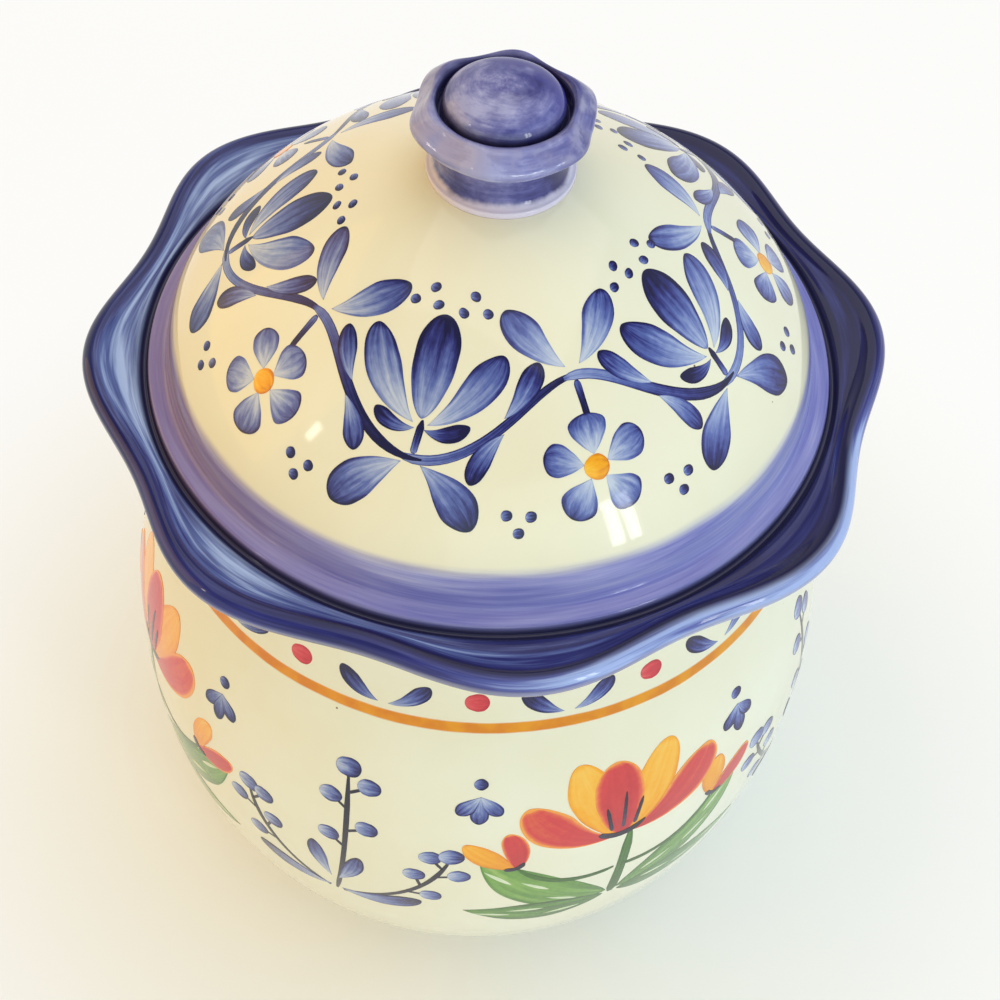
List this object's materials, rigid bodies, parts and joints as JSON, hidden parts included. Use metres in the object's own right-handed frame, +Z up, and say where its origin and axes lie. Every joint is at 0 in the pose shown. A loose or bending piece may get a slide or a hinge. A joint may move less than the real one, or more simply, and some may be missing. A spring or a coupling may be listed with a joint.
{
  "type": "lidded canister",
  "caption": "Round-bellied glazed stoneware kitchen canister whose domed lid, with a wavy rolled brim and a wavy knob, lifts off the jar's mouth.",
  "frame": {"origin": "centre of the foot ring on the surface that the canister stands on", "axes": "+Z up along the axis of the jar and the lid, -Y towards the side that the picture shows"},
  "size_m": [0.186, 0.186, 0.254],
  "materials": {
    "jar_glaze": "glossy cream glaze over stoneware, painted under the glaze",
    "lid_glaze": "glossy cream glaze, brim brushed in cobalt blue",
    "knob_glaze": "glossy brushed cobalt blue glaze",
    "seal_rubber": "soft translucent white silicone"
  },
  "bodies": {
    "jar_body": {"jar": "jar_glaze"},
    "lid_body": {"lid": "lid_glaze", "lid_knob": "knob_glaze", "lid_seal": "seal_rubber"}
  },
  "joints": [
    {"name": "lid_lift", "type": "slide", "parent": "jar_body", "child": "lid_body", "axis": [0, 0, 1], "range_m": [0, 0.12]}
  ]
}
